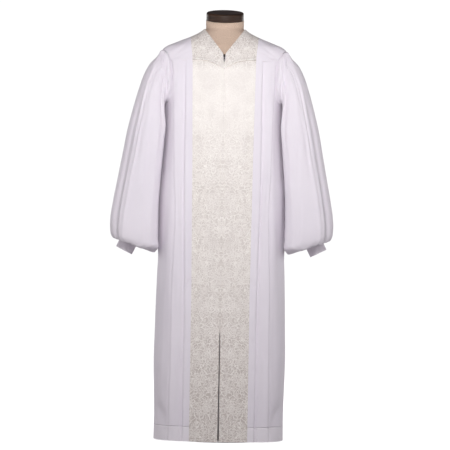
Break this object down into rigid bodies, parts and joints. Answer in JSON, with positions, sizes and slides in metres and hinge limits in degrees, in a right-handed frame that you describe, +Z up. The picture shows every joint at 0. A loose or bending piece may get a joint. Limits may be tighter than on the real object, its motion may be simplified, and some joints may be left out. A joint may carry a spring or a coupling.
{
  "type": "pulpit robe on a limbless dress form",
  "caption": "Clergy pulpit robe with brocade front panels, knife pleats and full gathered sleeves, worn by a limbless dress form on a round base.",
  "frame": {"origin": "centre of the base's underside, on the floor", "axes": "+Z up along the pole, +X towards the viewer's right when facing the robe, -Y out of the robe's front"},
  "size_m": [0.7812, 0.3191, 1.5088],
  "materials": {
    "white_cloth": "matte",
    "brocade": "satin",
    "linen": "matte",
    "dark_wood": "satin",
    "painted_steel": "satin",
    "dark_metal": "satin"
  },
  "bodies": {
    "robe_and_form": {"form_torso": "linen", "form_cap": "dark_wood", "form_pole": "painted_steel", "form_base": "painted_steel", "brocade_yoke_right": "brocade", "brocade_yoke_left": "brocade", "brocade_panel_right": "brocade", "brocade_panel_left": "brocade", "front_yoke_right": "white_cloth", "front_yoke_left": "white_cloth", "front_panel_right": "white_cloth", "front_panel_left": "white_cloth", "back_yoke": "white_cloth", "back_panel": "white_cloth", "sleeve_right": "white_cloth", "sleeve_left": "white_cloth", "cuff_right": "white_cloth", "cuff_left": "white_cloth", "zip_tape": "white_cloth", "zip_slider": "dark_metal"},
    "pull": {"zip_pull": "dark_metal"}
  },
  "joints": [
    {"name": "zip_pull_hinge", "type": "hinge", "parent": "robe_and_form", "child": "pull", "pos_m": [0, -0.09881, 1.34191], "axis": [-1, 0, 0], "range_deg": [0, 150]}
  ]
}
